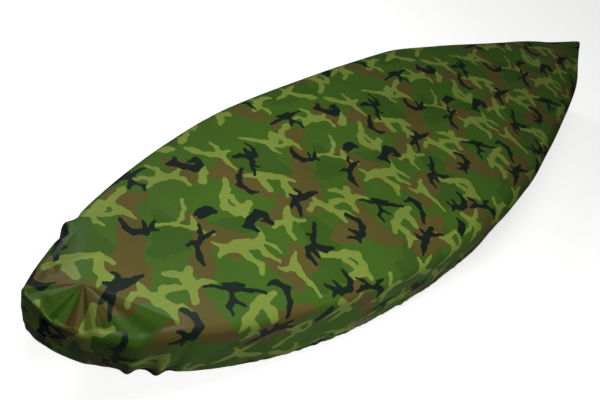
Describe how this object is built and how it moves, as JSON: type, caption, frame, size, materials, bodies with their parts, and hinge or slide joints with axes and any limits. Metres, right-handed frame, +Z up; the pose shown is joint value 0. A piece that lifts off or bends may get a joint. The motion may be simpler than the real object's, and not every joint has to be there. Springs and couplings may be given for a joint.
{
  "type": "fitted kayak cover",
  "caption": "Hollow fitted cover of thin camouflage cloth for a kayak, flat deck, upright walls, gathered stern and an elastic hem tucked in below.",
  "frame": {"origin": "underside of the cloth on the centre line at mid-length, where it lies on the kayak's deck", "axes": "+X to the bow, the pointed end; +Y to port; +Z up"},
  "size_m": [3.2711, 0.8877, 0.4104],
  "materials": {
    "camouflage_cloth": "smooth coated polyester with a soft sheen, printed in a four-colour woodland camouflage"
  },
  "bodies": {
    "root": {"cover": "camouflage_cloth"}
  },
  "joints": []
}
